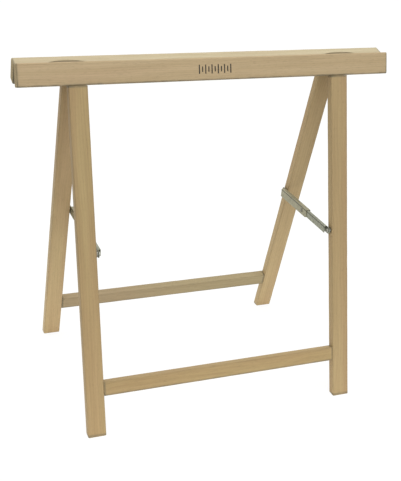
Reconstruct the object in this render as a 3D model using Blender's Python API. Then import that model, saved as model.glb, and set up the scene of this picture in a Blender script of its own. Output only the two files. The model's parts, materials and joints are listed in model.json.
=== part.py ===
"""Folding wooden work trestle, 800 mm long and 730 mm high.

Two timber frames, front and rear, lean against each other. Each is a top rail, two
legs and a low cross rail, mortised and tenoned. Two steel butt hinges join the top
rails, their barrels sunk in seats below the rails' tops. Two folding stays of nested
steel channels hold the frames apart: the knuckle lifts to fold the trestle flat.

Metres, +Z up, X along the rails, front toward -Y, origin on the floor at the middle.
Left and right are as seen from the front.
"""
import math

import bmesh
import bpy
from mathutils import Vector

# Overall
TRESTLE_LENGTH = 0.800
TRESTLE_HEIGHT = 0.730
SPLAY = math.radians(15.4)          # lean of each frame from upright

# Timber sections
RAIL_HEIGHT = 0.045
RAIL_THICKNESS = 0.023
RAIL_EASING = 0.0025                # radius on the outer long edges
RAIL_INNER_EASING = 0.001           # radius on the long edges beside the valley
RAIL_END_EASING = 0.0025            # radius round each end
LEG_WIDTH = 0.038
LEG_THICKNESS = 0.019
LEG_EASING = 0.002
RAIL_OVERHANG = 0.098               # of the rail past the outer side of each leg
CROSS_RAIL_HEIGHT = 0.030
CROSS_RAIL_THICKNESS = 0.019
CROSS_RAIL_EASING = 0.002
CROSS_RAIL_DROP = 0.643             # down the frame, rail top to cross rail top
END_CHAMFER = 0.001                 # on the cross rails' shoulders and the feet

# Mortises and tenons
TENON_THICKNESS = 0.008
MORTISE_LAND = 0.0014               # rail left between a leg's mortise and the hinge screws
LEG_TENON_SHOULDER = 0.004
CROSS_MORTISE_COVER = 0.020         # leg left outside a cross rail's tenon
CROSS_TENON_SHOULDER = 0.005
TENON_ROOT = 0.004                  # of a tenon inside the timber that it belongs to

# Clearances
FIT = 0.0003                        # between any two pieces
RUN = 0.0003                        # round a turning pin, rivet or screw

# Butt hinges
HINGE_WIDTH = 0.040
HINGE_SINK = 0.0065                 # rail tops above the barrel's axis
HINGE_SEAT_END = 0.0015             # of the barrel's seat past each end of the barrel
HINGE_LEAF_HEIGHT = 0.022           # from the barrel's axis to the lower edge
HINGE_LEAF_THICKNESS = 0.0015
HINGE_BARREL_RADIUS = 0.00275
HINGE_PIN_RADIUS = 0.00125
HINGE_KNUCKLES = 5
HINGE_CORNER_RADIUS = 0.003
HINGE_SCREW_SPACING = 0.022         # across the leaf
HINGE_SCREW_HEIGHTS = (0.0080, 0.0150)  # below the axis, one for each screw
HINGE_SCREW_RADIUS = 0.0015
HINGE_SCREW_HEAD_RADIUS = 0.0032
HINGE_SCREW_HEAD_DEPTH = 0.0017
HINGE_SCREW_LENGTH = 0.016

# Folding stays
STAY_DROP = 0.3782                  # rail top to the leg pivots, down the frame
STAY_SHEET = 0.0015
STAY_OUTER_WIDTH = 0.011
STAY_OUTER_HEIGHT = 0.019
STAY_BEND_RADIUS = 0.002            # outside the bend
STAY_STANDOFF = 0.0026              # leg face to the outer channel
STAY_STOP_OVERLAP = 0.022           # outer channel past the knuckle
STAY_TONGUE = 0.0006                # bare tongue past each leg pivot's screw head
STAY_CORNER_RADIUS = 0.003
KNUCKLE_RIVET_RADIUS = 0.0025
KNUCKLE_HEAD_RADIUS = 0.0045
KNUCKLE_HEAD_HEIGHT = 0.0017
PIVOT_SCREW_RADIUS = 0.00225
PIVOT_SCREW_HEAD_RADIUS = 0.0046
PIVOT_SCREW_HEAD_HEIGHT = 0.0027
PIVOT_SCREW_DEPTH = 0.026           # of the screw in the leg
PIVOT_WASHER_RADIUS = 0.006

# Facets
ARC_STEPS = 4                       # segments in a quarter circle of an easing
ROUND_STEPS = 20                    # sides of a small turned piece
BORE_MARGIN = 0.002                 # that a cutter runs past what it cuts
RELIEF_MARGIN = 0.0001              # that a relief keeps off the side it leaves standing
SMOOTH_ANGLE = math.radians(35)     # facets that meet at less are shaded as one surface
EMPTY_SIZE = 0.03

# Where the hinge axis and the timber faces lie
SIN_SPLAY = math.sin(SPLAY)
COS_SPLAY = math.cos(SPLAY)
RAIL_INNER = FIT + HINGE_LEAF_THICKNESS + FIT     # out from the axis, square to the frame
FRAME_OUTER = RAIL_INNER + RAIL_THICKNESS         # rails, legs and cross rails are flush here
BARREL_CLEAR = HINGE_BARREL_RADIUS + FIT
RAIL_TOP = -HINGE_SINK                            # down from the axis, as are the next ones
RAIL_BOTTOM = RAIL_TOP + RAIL_HEIGHT
LEG_INNER = FRAME_OUTER - LEG_THICKNESS
LEG_MIDDLE = FRAME_OUTER - LEG_THICKNESS / 2
CROSS_INNER = FRAME_OUTER - CROSS_RAIL_THICKNESS
CROSS_MIDDLE = FRAME_OUTER - CROSS_RAIL_THICKNESS / 2
CROSS_TOP = RAIL_TOP + CROSS_RAIL_DROP
STAY_DOWN = RAIL_TOP + STAY_DROP
LEG_TENON_TIP = max(HINGE_SCREW_HEIGHTS) + HINGE_SCREW_RADIUS + FIT + MORTISE_LAND + FIT
HINGE_AXIS_Z = (TRESTLE_HEIGHT - RAIL_EASING + (RAIL_TOP + RAIL_EASING) * COS_SPLAY
                - (FRAME_OUTER - RAIL_EASING) * SIN_SPLAY)
LEG_X = TRESTLE_LENGTH / 2 - RAIL_OVERHANG - LEG_WIDTH / 2        # the middle of a leg
LEG_FACE_X = LEG_X - LEG_WIDTH / 2                # the side of a leg that faces the middle

# Where the stays lie when the trestle stands open, knuckle straight
STAY_Y = STAY_DOWN * SIN_SPLAY + LEG_MIDDLE * COS_SPLAY
STAY_Z = HINGE_AXIS_Z + LEG_MIDDLE * SIN_SPLAY - STAY_DOWN * COS_SPLAY
LINK_LENGTH = STAY_Y                              # leg pivot to knuckle
OUTER_HALF = STAY_OUTER_HEIGHT / 2
INNER_HALF = OUTER_HALF - STAY_SHEET - FIT        # so that it turns inside the outer channel
INNER_STANDOFF = STAY_STANDOFF + STAY_SHEET + FIT
INNER_WIDTH = STAY_OUTER_WIDTH - 2 * (STAY_SHEET + FIT)
STAY_FAR_SIDE = STAY_STANDOFF + STAY_OUTER_WIDTH
TONGUE_REACH = PIVOT_SCREW_HEAD_RADIUS + FIT + STAY_TONGUE
KNUCKLE_BORE_RADIUS = KNUCKLE_RIVET_RADIUS + RUN
PIVOT_BORE_RADIUS = PIVOT_SCREW_RADIUS + RUN

SIDES = (("left", -1), ("right", 1))
FRAMES = (("front", -1), ("rear", 1))


def clear_scene():
    """Remove every object that the file holds."""
    for old in list(bpy.data.objects):
        bpy.data.objects.remove(old, do_unlink=True)


def finish(name, colour, roughness, metallic=0.0):
    """Make a plain material for one kind of piece."""
    mat = bpy.data.materials.new(name)
    mat.use_nodes = True
    shader = mat.node_tree.nodes["Principled BSDF"]
    shader.inputs["Base Color"].default_value = (*colour, 1.0)
    shader.inputs["Roughness"].default_value = roughness
    shader.inputs["Metallic"].default_value = metallic
    mat.diffuse_color = (*colour, 1.0)
    return mat


def axis_empty(name, location, tilt=0.0):
    """Make an empty that carries a body, on the axis that the body turns about."""
    empty = bpy.data.objects.new(name, None)
    empty.location = location
    empty.rotation_euler = (tilt, 0.0, 0.0)
    empty.empty_display_size = EMPTY_SIZE
    bpy.context.collection.objects.link(empty)
    return empty


def piece(name, shape, mat, parent, smooth=False):
    """Turn a bmesh into a named object under its parent empty."""
    bmesh.ops.recalc_face_normals(shape, faces=shape.faces)
    mesh = bpy.data.meshes.new(name)
    shape.to_mesh(mesh)
    shape.free()
    if smooth:
        mesh.shade_smooth()
        mesh.set_sharp_from_angle(angle=SMOOTH_ANGLE)
    obj = bpy.data.objects.new(name, mesh)
    if mat:
        mesh.materials.append(mat)
    obj.parent = parent
    bpy.context.collection.objects.link(obj)
    return obj


def boolean(obj, operation, shape, label):
    """Add, cut or keep a shape on an object, with the shape left as a wire guide."""
    tool = piece(f"{obj.name}_{label}", shape, None, obj.parent)
    tool.hide_render = True
    tool.display_type = "WIRE"
    mod = obj.modifiers.new(label, "BOOLEAN")
    mod.operation = operation
    mod.solver = "EXACT"
    mod.object = tool


def add_loft(shape, rings):
    """Join rings of points into a closed solid, with a flat face at each end."""
    loops = [[shape.verts.new(point) for point in ring] for ring in rings]
    count = len(loops[0])
    for near, far in zip(loops, loops[1:]):
        for i in range(count):
            j = (i + 1) % count
            shape.faces.new((near[i], near[j], far[j], far[i]))
    shape.faces.new(loops[0])
    shape.faces.new(reversed(loops[-1]))


def add_box(shape, low, high):
    """Add a box between two corners."""
    corners = ((low[0], low[1]), (high[0], low[1]), (high[0], high[1]), (low[0], high[1]))
    add_loft(shape, [[Vector((x, y, z)) for x, y in corners] for z in (low[2], high[2])])


def add_turned(shape, profile, place, steps=ROUND_STEPS):
    """Turn a profile of (distance along the axis, radius) into a solid.

    place maps the distance and two coordinates across it to a point. A profile that
    starts and ends at radius 0 is solid; any other is a ring, closed from end to start.
    """
    turns = [2 * math.pi * (k + 0.5) / steps for k in range(steps)]
    rings = []
    for along, radius in profile:
        if radius == 0:
            rings.append([shape.verts.new(place(along, 0.0, 0.0))])
        else:
            rings.append([shape.verts.new(place(along, radius * math.cos(a), radius * math.sin(a)))
                          for a in turns])
    pairs = list(zip(rings, rings[1:]))
    if profile[0][1] > 0:
        pairs.append((rings[-1], rings[0]))
    for near, far in pairs:
        for i in range(steps):
            j = (i + 1) % steps
            if len(near) == 1:
                shape.faces.new((near[0], far[i], far[j]))
            elif len(far) == 1:
                shape.faces.new((near[i], far[0], near[j]))
            else:
                shape.faces.new((near[i], far[i], far[j], near[j]))


def arc(centre, radius, start, stop, steps):
    """Points on an arc, angles in degrees, both ends kept."""
    span = math.radians(stop - start)
    first = math.radians(start)
    return [(centre[0] + radius * math.cos(first + span * k / steps),
             centre[1] + radius * math.sin(first + span * k / steps)) for k in range(steps + 1)]


def eased_outline(low, high, near, far):
    """A rectangle with round corners: their radii on its low side and on its high side in X."""
    (x0, y0), (x1, y1) = low, high
    near, far = (min(radius, (x1 - x0) / 3, (y1 - y0) / 3) for radius in (near, far))
    points = arc((x1 - far, y0 + far), far, -90, 0, ARC_STEPS)
    points += arc((x1 - far, y1 - far), far, 0, 90, ARC_STEPS)
    points += arc((x0 + near, y1 - near), near, 90, 180, ARC_STEPS)
    points += arc((x0 + near, y0 + near), near, 180, 270, ARC_STEPS)
    return points


def inset_outline(low, high, near, far, inset):
    """The same outline drawn in by an inset, with as many points."""
    low = (low[0] + inset, low[1] + inset)
    high = (high[0] - inset, high[1] - inset)
    near, far = (max(radius - inset / 2, radius / 4) for radius in (near, far))
    return eased_outline(low, high, near, far)


def in_frame(x, out, down, facing):
    """A point of a frame: along the rails, out from the hinge axis, and down the legs."""
    return Vector((x, facing * out, -down))


def lengthwise_timber(facing, low, high, half_length, easings, end_easing, end_steps):
    """A rail along X between two corners of its section, with eased long edges and ends.

    low and high are (out, down). easings are the radii on the inner and the outer edges.
    """
    shape = bmesh.new()
    end = arc((half_length - end_easing, end_easing), end_easing, 270, 360, end_steps)
    stations = [(-x, inset) for x, inset in reversed(end)] + end
    rings = []
    for x, inset in stations:
        outline = inset_outline(low, high, *easings, inset)
        rings.append([in_frame(x, out, down, facing) for out, down in outline])
    add_loft(shape, rings)
    return shape


def leg_timber(facing, x_middle):
    """A leg with eased edges, its foot sawn level with the floor."""
    low = (x_middle - LEG_WIDTH / 2, LEG_INNER)
    high = (x_middle + LEG_WIDTH / 2, FRAME_OUTER)
    shoulder = RAIL_BOTTOM + FIT

    def foot(out, lift):
        return (HINGE_AXIS_Z - lift + out * SIN_SPLAY) / COS_SPLAY

    shape = bmesh.new()
    full = inset_outline(low, high, LEG_EASING, LEG_EASING, 0.0)
    drawn_in = inset_outline(low, high, LEG_EASING, LEG_EASING, END_CHAMFER)
    rings = [[in_frame(x, out, shoulder, facing) for x, out in full],
             [in_frame(x, out, foot(out, END_CHAMFER), facing) for x, out in full],
             [in_frame(x, out, foot(out, 0.0), facing) for x, out in drawn_in]]
    add_loft(shape, rings)
    return shape


def frame_box(facing, x_range, out_range, down_range):
    """A box given in a frame's own directions."""
    shape = bmesh.new()
    add_frame_box(shape, facing, x_range, out_range, down_range)
    return shape


def add_frame_box(shape, facing, x_range, out_range, down_range):
    """Add a box given in a frame's own directions."""
    y_range = sorted((facing * out_range[0], facing * out_range[1]))
    add_box(shape, (x_range[0], y_range[0], -down_range[1]), (x_range[1], y_range[1], -down_range[0]))


def centred(middle, size):
    """The range of a size about its middle."""
    return (middle - size / 2, middle + size / 2)


def grown(limits, by):
    """A range made longer at both ends."""
    return (limits[0] - by, limits[1] + by)


def add_across(shape, profile, side, y, z, steps=ROUND_STEPS):
    """Turn a profile about an axis along X; its distances run from a leg's face to the middle."""
    add_turned(shape, profile, lambda w, a, b: Vector((side * (LEG_FACE_X - w), y + a, z + b)), steps)


def across(profile, side, y, z, steps=ROUND_STEPS):
    """The same, as a shape of its own."""
    shape = bmesh.new()
    add_across(shape, profile, side, y, z, steps)
    return shape


def rod(start, stop, radius):
    """The profile of a plain rod."""
    return [(start, 0.0), (start, radius), (stop, radius), (stop, 0.0)]


def leg_tenon_ranges(x_middle):
    """Where a leg's tenon sits in the rail above it."""
    width = LEG_WIDTH - 2 * LEG_TENON_SHOULDER
    return centred(x_middle, width), centred(LEG_MIDDLE, TENON_THICKNESS), LEG_TENON_TIP


def cross_tenon_ranges(side):
    """Where a cross rail's tenon sits in a leg."""
    tip = LEG_FACE_X + LEG_WIDTH - CROSS_MORTISE_COVER
    x_range = tuple(sorted((side * (LEG_FACE_X - FIT), side * tip)))
    down = (CROSS_TOP + CROSS_TENON_SHOULDER, CROSS_TOP + CROSS_RAIL_HEIGHT - CROSS_TENON_SHOULDER)
    return x_range, centred(CROSS_MIDDLE, TENON_THICKNESS), down


def hinge_screw_places(side, facing):
    """The hinge screws of one leaf, each with its x and how far down it lies.

    The high screw of one leaf faces the low one of the other, so that they don't meet.
    """
    middle = side * LEG_X
    low, high = HINGE_SCREW_HEIGHTS
    order = (low, high) if facing < 0 else (high, low)
    return [(middle - HINGE_SCREW_SPACING / 2, order[0]), (middle + HINGE_SCREW_SPACING / 2, order[1])]


def add_hinge_screw(shape, facing, x, down, grow, length):
    """A countersunk screw square to the leaf, or with grow the hole that takes it."""
    start = FIT + FIT / 2
    head = HINGE_SCREW_HEAD_RADIUS + grow
    shank = HINGE_SCREW_RADIUS + grow
    neck = start + HINGE_SCREW_HEAD_DEPTH
    tip = start + length
    profile = [(start, 0.0), (start, head), (neck, shank), (tip - 2 * shank, shank), (tip, 0.0)]
    if grow > 0:
        profile = [(start - BORE_MARGIN, 0.0), (start - BORE_MARGIN, head), (start, head),
                   (neck, shank), (tip, shank), (tip, 0.0)]
    add_turned(shape, profile, lambda v, a, b: in_frame(x + a, v, down + b, facing), 16)


def hinge_seats(facing):
    """The cut that sinks each hinge's barrel in a rail: round below, and open at the top."""
    shape = bmesh.new()
    outline = arc((0.0, 0.0), BARREL_CLEAR, 0, 180, 3 * ARC_STEPS)
    outline += [(-BARREL_CLEAR, RAIL_TOP - BORE_MARGIN), (BARREL_CLEAR, RAIL_TOP - BORE_MARGIN)]
    for _, side in SIDES:
        ends = grown(centred(side * LEG_X, HINGE_WIDTH), HINGE_SEAT_END)
        add_loft(shape, [[in_frame(x, out, down, facing) for out, down in outline] for x in ends])
    return shape


def make_rail(name, facing, parent, mat):
    """A top rail, with a mortise over each leg and a seat and pilot holes for each hinge."""
    shape = lengthwise_timber(facing, (RAIL_INNER, RAIL_TOP), (FRAME_OUTER, RAIL_BOTTOM), TRESTLE_LENGTH / 2,
                              (RAIL_INNER_EASING, RAIL_EASING), RAIL_END_EASING, ARC_STEPS)
    rail = piece(name, shape, mat, parent, True)
    mortises = bmesh.new()
    for _, side in SIDES:
        x_range, out_range, tip = leg_tenon_ranges(side * LEG_X)
        add_frame_box(mortises, facing, grown(x_range, FIT), grown(out_range, FIT),
                      (tip - FIT, RAIL_BOTTOM + BORE_MARGIN))
    boolean(rail, "DIFFERENCE", mortises, "mortises")
    boolean(rail, "DIFFERENCE", hinge_seats(facing), "hinge_seats")
    pilots = bmesh.new()
    for _, side in SIDES:
        for x, down in hinge_screw_places(side, facing):
            add_hinge_screw(pilots, facing, x, down, FIT, HINGE_SCREW_LENGTH + FIT)
    boolean(rail, "DIFFERENCE", pilots, "pilots")


def make_leg(name, facing, side, parent, mat):
    """A leg, with its tenon, the cross rail's mortise and the front ones' pivot hole."""
    x_middle = side * LEG_X
    leg = piece(name, leg_timber(facing, x_middle), mat, parent, True)
    x_range, out_range, tip = leg_tenon_ranges(x_middle)
    root = RAIL_BOTTOM + FIT + TENON_ROOT
    boolean(leg, "UNION", frame_box(facing, x_range, out_range, (tip, root)), "tenon")
    x_range, out_range, down_range = cross_tenon_ranges(side)
    shift = (-BORE_MARGIN, FIT) if side > 0 else (-FIT, BORE_MARGIN)
    x_range = (x_range[0] + shift[0], x_range[1] + shift[1])
    cuts = frame_box(facing, x_range, grown(out_range, FIT), grown(down_range, FIT))
    if facing < 0:
        hole = rod(-PIVOT_SCREW_DEPTH - FIT, BORE_MARGIN, PIVOT_BORE_RADIUS)
        add_turned(cuts, hole, lambda w, a, b: in_frame(side * (LEG_FACE_X - w), LEG_MIDDLE + a,
                                                        STAY_DOWN + b, facing))
    boolean(leg, "DIFFERENCE", cuts, "cuts")


def make_cross_rail(name, facing, parent, mat):
    """A cross rail between a frame's legs, with a tenon at each end."""
    shape = lengthwise_timber(facing, (CROSS_INNER, CROSS_TOP), (FRAME_OUTER, CROSS_TOP + CROSS_RAIL_HEIGHT),
                              LEG_FACE_X - FIT, (CROSS_RAIL_EASING, CROSS_RAIL_EASING), END_CHAMFER, 1)
    rail = piece(name, shape, mat, parent, True)
    tenons = bmesh.new()
    for _, side in SIDES:
        x_range, out_range, down_range = cross_tenon_ranges(side)
        root = side * (LEG_FACE_X - FIT - TENON_ROOT)
        add_frame_box(tenons, facing, (min(root, x_range[0]), max(root, x_range[1])), out_range, down_range)
    boolean(rail, "UNION", tenons, "tenons")


def knuckle_range(side, index):
    """Where one knuckle of a hinge barrel lies along X."""
    pitch = HINGE_WIDTH / HINGE_KNUCKLES
    start = side * LEG_X - HINGE_WIDTH / 2 + index * pitch
    return start + FIT / 2, start + pitch - FIT / 2


def make_leaf(name, facing, side, parent, mat):
    """A hinge leaf: a plate on the rail's inner face, notched round the other leaf's knuckles."""
    own = range(0, HINGE_KNUCKLES, 2) if facing < 0 else range(1, HINGE_KNUCKLES, 2)
    notch = BARREL_CLEAR
    left = side * LEG_X - HINGE_WIDTH / 2
    right = left + HINGE_WIDTH
    outline = []
    for index in range(HINGE_KNUCKLES):
        start, stop = knuckle_range(side, index)
        if index in own:
            outline += [(start, notch), (start, 0.0), (stop, 0.0), (stop, notch)]
    if outline[0][0] - left > FIT:
        outline.insert(0, (left, notch))
        outline.append((right, notch))
    radius = min(HINGE_CORNER_RADIUS, HINGE_WIDTH / 3)
    bottom = HINGE_LEAF_HEIGHT
    outline += arc((right - radius, bottom - radius), radius, 0, 90, ARC_STEPS)
    outline += arc((left + radius, bottom - radius), radius, 90, 180, ARC_STEPS)
    plate = bmesh.new()
    add_loft(plate, [[in_frame(x, out, down, facing) for x, down in outline]
                     for out in (FIT, FIT + HINGE_LEAF_THICKNESS)])
    leaf = piece(name, plate, mat, parent, True)
    barrels = bmesh.new()
    for index in own:
        start, stop = knuckle_range(side, index)
        add_turned(barrels, rod(start, stop, HINGE_BARREL_RADIUS), lambda x, a, b: Vector((x, a, b)))
    boolean(leaf, "UNION", barrels, "barrels")
    bore = bmesh.new()
    add_turned(bore, rod(left - BORE_MARGIN, right + BORE_MARGIN, HINGE_PIN_RADIUS + RUN),
               lambda x, a, b: Vector((x, a, b)))
    boolean(leaf, "DIFFERENCE", bore, "bore")
    sinks = bmesh.new()
    for x, down in hinge_screw_places(side, facing):
        add_hinge_screw(sinks, facing, x, down, FIT, HINGE_SCREW_LENGTH)
    boolean(leaf, "DIFFERENCE", sinks, "countersinks")


def make_hinge_pin(name, side, parent, mat):
    """A hinge pin, as long as the barrel, with its ends a little rounded."""
    half = HINGE_WIDTH / 2
    middle = side * LEG_X
    ease = HINGE_PIN_RADIUS / 3
    profile = [(middle - half, 0.0), (middle - half, HINGE_PIN_RADIUS - ease),
               (middle - half + ease, HINGE_PIN_RADIUS), (middle + half - ease, HINGE_PIN_RADIUS),
               (middle + half, HINGE_PIN_RADIUS - ease), (middle + half, 0.0)]
    shape = bmesh.new()
    add_turned(shape, profile, lambda x, a, b: Vector((x, a, b)))
    piece(name, shape, mat, parent, True)


def channel_outline(standoff, width, half_height):
    """The section of a stay channel, web uppermost: (out from the leg face, up)."""
    near, far = standoff, standoff + width
    top, bottom = half_height, -half_height
    bend = min(STAY_BEND_RADIUS, width / 3)
    hollow = max(bend - STAY_SHEET, FIT)
    inside_near, inside_far = near + STAY_SHEET, far - STAY_SHEET
    inside_top = top - STAY_SHEET
    points = [(near, bottom)]
    points += list(reversed(arc((near + bend, top - bend), bend, 90, 180, ARC_STEPS)))
    points += list(reversed(arc((far - bend, top - bend), bend, 0, 90, ARC_STEPS)))
    points += [(far, bottom), (inside_far, bottom)]
    points += arc((inside_far - hollow, inside_top - hollow), hollow, 0, 90, 2)
    points += arc((inside_near + hollow, inside_top - hollow), hollow, 90, 180, 2)
    points += [(inside_near, bottom)]
    return points


def make_link(name, side, inner, parent, mat):
    """One link of a stay: a channel with a bare round tongue at its leg pivot.

    The inner channel runs from its leg pivot to the knuckle, at its parent's origin to
    +Y. The outer one has the knuckle at its parent's origin and the leg pivot at +Y.
    """
    standoff = INNER_STANDOFF if inner else STAY_STANDOFF
    width = INNER_WIDTH if inner else STAY_OUTER_WIDTH
    half = INNER_HALF if inner else OUTER_HALF
    pivot = 0.0 if inner else LINK_LENGTH
    knuckle = LINK_LENGTH if inner else 0.0
    toward = 1 if inner else -1                  # from the leg pivot to the knuckle
    reach = LINK_LENGTH + OUTER_HALF + STAY_STOP_OVERLAP

    def at(w, along, up):
        return Vector((side * (LEG_FACE_X - w), pivot + toward * along, up))

    section = channel_outline(standoff, width, half)
    bar = bmesh.new()
    add_loft(bar, [[at(w, along, up) for w, up in section] for along in (-reach, reach)])
    link = piece(name, bar, mat, parent, True)

    outline = arc((0.0, 0.0), half, 90, 270, 3 * ARC_STEPS)
    if inner:
        outline += arc((LINK_LENGTH, 0.0), half, -90, 90, 3 * ARC_STEPS)
    else:
        end = LINK_LENGTH + STAY_STOP_OVERLAP
        corner = min(STAY_CORNER_RADIUS, half / 2)
        outline += arc((end - corner, -half + corner), corner, -90, 0, ARC_STEPS)
        outline += arc((end - corner, half - corner), corner, 0, 90, ARC_STEPS)
    side_view = bmesh.new()
    add_loft(side_view, [[at(w, along, up) for along, up in outline]
                         for w in (standoff - BORE_MARGIN, standoff + width + BORE_MARGIN)])
    boolean(link, "INTERSECT", side_view, "side_view")

    relief = bmesh.new()
    low = at(standoff + STAY_SHEET + RELIEF_MARGIN, -half - BORE_MARGIN, -half - BORE_MARGIN)
    high = at(standoff + width + BORE_MARGIN, TONGUE_REACH, half + BORE_MARGIN)
    add_box(relief, [min(a, b) for a, b in zip(low, high)], [max(a, b) for a, b in zip(low, high)])
    boolean(link, "DIFFERENCE", relief, "tongue")
    if inner:
        relief = bmesh.new()
        low = at(standoff + STAY_SHEET + RELIEF_MARGIN, LINK_LENGTH, half - 2 * STAY_SHEET)
        high = at(standoff + width - STAY_SHEET - RELIEF_MARGIN, reach, half + BORE_MARGIN)
        add_box(relief, [min(a, b) for a, b in zip(low, high)], [max(a, b) for a, b in zip(low, high)])
        boolean(link, "DIFFERENCE", relief, "web_end")

    holes = bmesh.new()
    through = (standoff - BORE_MARGIN, standoff + width + BORE_MARGIN)
    add_across(holes, rod(*through, PIVOT_BORE_RADIUS), side, pivot, 0.0)
    add_across(holes, rod(*through, KNUCKLE_BORE_RADIUS), side, knuckle, 0.0)
    boolean(link, "DIFFERENCE", holes, "holes")


def make_rivet(name, side, y, parent, mat):
    """The knuckle rivet, with a domed head on each side of the nested channels."""
    low_head = STAY_STANDOFF - FIT
    high_head = STAY_FAR_SIDE + FIT
    dome = [(KNUCKLE_HEAD_HEIGHT * math.sin(math.pi / 2 * k / ARC_STEPS),
             KNUCKLE_HEAD_RADIUS * math.cos(math.pi / 2 * k / ARC_STEPS)) for k in range(ARC_STEPS)]
    profile = [(low_head - KNUCKLE_HEAD_HEIGHT, 0.0)]
    profile += [(low_head - rise, radius) for rise, radius in reversed(dome)]
    profile += [(low_head, KNUCKLE_RIVET_RADIUS), (high_head, KNUCKLE_RIVET_RADIUS)]
    profile += [(high_head + rise, radius) for rise, radius in dome]
    profile += [(high_head + KNUCKLE_HEAD_HEIGHT, 0.0)]
    piece(name, across(profile, side, y, 0.0), mat, parent, True)


def make_pivot(prefix, side, standoff, depth, y, z, parent, mat):
    """A pan-head wood screw through a link's tongue, and the spacer between tongue and leg.

    depth is how far the screw enters the leg. At 0 it stops just short of the leg's face.
    """
    spacer = [(FIT, PIVOT_BORE_RADIUS), (FIT, PIVOT_WASHER_RADIUS),
              (standoff - FIT, PIVOT_WASHER_RADIUS), (standoff - FIT, PIVOT_BORE_RADIUS)]
    piece(f"{prefix}_spacer", across(spacer, side, y, z), mat, parent, True)
    seat = standoff + STAY_SHEET + FIT
    crown = PIVOT_SCREW_HEAD_HEIGHT / 2
    point = PIVOT_SCREW_RADIUS * 2 if depth > 0 else 0.0
    profile = [(-depth if depth > 0 else FIT, 0.0)]
    profile += [(profile[0][0] + point, PIVOT_SCREW_RADIUS), (seat, PIVOT_SCREW_RADIUS),
                (seat, PIVOT_SCREW_HEAD_RADIUS), (seat + crown, PIVOT_SCREW_HEAD_RADIUS)]
    profile += [(seat + crown + crown * math.sin(math.pi / 2 * k / ARC_STEPS),
                 PIVOT_SCREW_HEAD_RADIUS * math.cos(math.pi / 2 * k / ARC_STEPS))
                for k in range(1, ARC_STEPS)]
    profile += [(seat + 2 * crown, 0.0)]
    piece(f"{prefix}_screw", across(profile, side, y, z), mat, parent, True)


def make_frame(frame, facing, timber, steel, zinc):
    """One timber frame with its hinge leaves and their screws."""
    body = axis_empty(f"{frame}_frame_axis", (0.0, 0.0, HINGE_AXIS_Z), facing * SPLAY)
    make_rail(f"{frame}_top_rail", facing, body, timber["rail"])
    make_cross_rail(f"{frame}_cross_rail", facing, body, timber["cross"])
    for hand, side in SIDES:
        make_leg(f"{frame}_{hand}_leg", facing, side, body, timber["leg"])
        make_leaf(f"{hand}_hinge_{frame}_leaf", facing, side, body, steel)
        for number, (x, down) in enumerate(hinge_screw_places(side, facing), 1):
            screw = bmesh.new()
            add_hinge_screw(screw, facing, x, down, 0.0, HINGE_SCREW_LENGTH)
            piece(f"{hand}_hinge_{frame}_screw_{number}", screw, zinc, body, True)
        if facing < 0:
            make_hinge_pin(f"{hand}_hinge_pin", side, body, zinc)
    return body


def make_stay(hand, side, front_frame, steel, zinc):
    """One folding stay, straight and level as it is when the trestle stands open.

    The front pivot's screw is fixed in the front leg, and the link turns on it. The rear
    pivot's screw goes with the rear link, whose end leaves the leg while the stay folds.
    """
    front = axis_empty(f"{hand}_stay_front_axis", (0.0, -STAY_Y, STAY_Z))
    knuckle = axis_empty(f"{hand}_stay_knuckle_axis", (0.0, 0.0, STAY_Z))
    make_link(f"{hand}_stay_front_link", side, True, front, steel)
    make_rivet(f"{hand}_stay_knuckle_rivet", side, LINK_LENGTH, front, zinc)
    make_link(f"{hand}_stay_rear_link", side, False, knuckle, steel)
    make_pivot(f"{hand}_stay_front", side, INNER_STANDOFF, PIVOT_SCREW_DEPTH,
               -LEG_MIDDLE, -STAY_DOWN, front_frame, zinc)
    make_pivot(f"{hand}_stay_rear", side, STAY_STANDOFF, 0.0, LINK_LENGTH, 0.0, knuckle, zinc)


def main():
    clear_scene()
    timber = {"rail": finish("planed_beech_rail", (0.46, 0.34, 0.20), 0.55),
              "leg": finish("planed_beech_leg", (0.42, 0.31, 0.17), 0.55),
              "cross": finish("planed_beech_cross_rail", (0.42, 0.31, 0.17), 0.55)}
    steel = finish("galvanised_strip", (0.42, 0.44, 0.40), 0.42, 1.0)
    zinc = finish("zinc_plated_fixings", (0.50, 0.50, 0.47), 0.35, 1.0)
    bodies = {frame: make_frame(frame, facing, timber, steel, zinc) for frame, facing in FRAMES}
    for hand, side in SIDES:
        make_stay(hand, side, bodies["front"], steel, zinc)


main()
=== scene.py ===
# %% [markdown]
# # A folding work trestle
#
# This notebook dresses a imported CAD model of a wooden work trestle: two timber frames,
# hinged along their top rails and held apart by two folding steel stays. The model's
# places and sizes are fixed. What is made here is the finish: planed beech with its
# grain, galvanised strip, and the small turned and pressed shapes of the fixings.
#
# The first cell loads the model.

# %% Load the imported model
import json
import math
import random
from functools import partial

import bmesh
import bpy
from mathutils import Matrix, Vector


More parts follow.
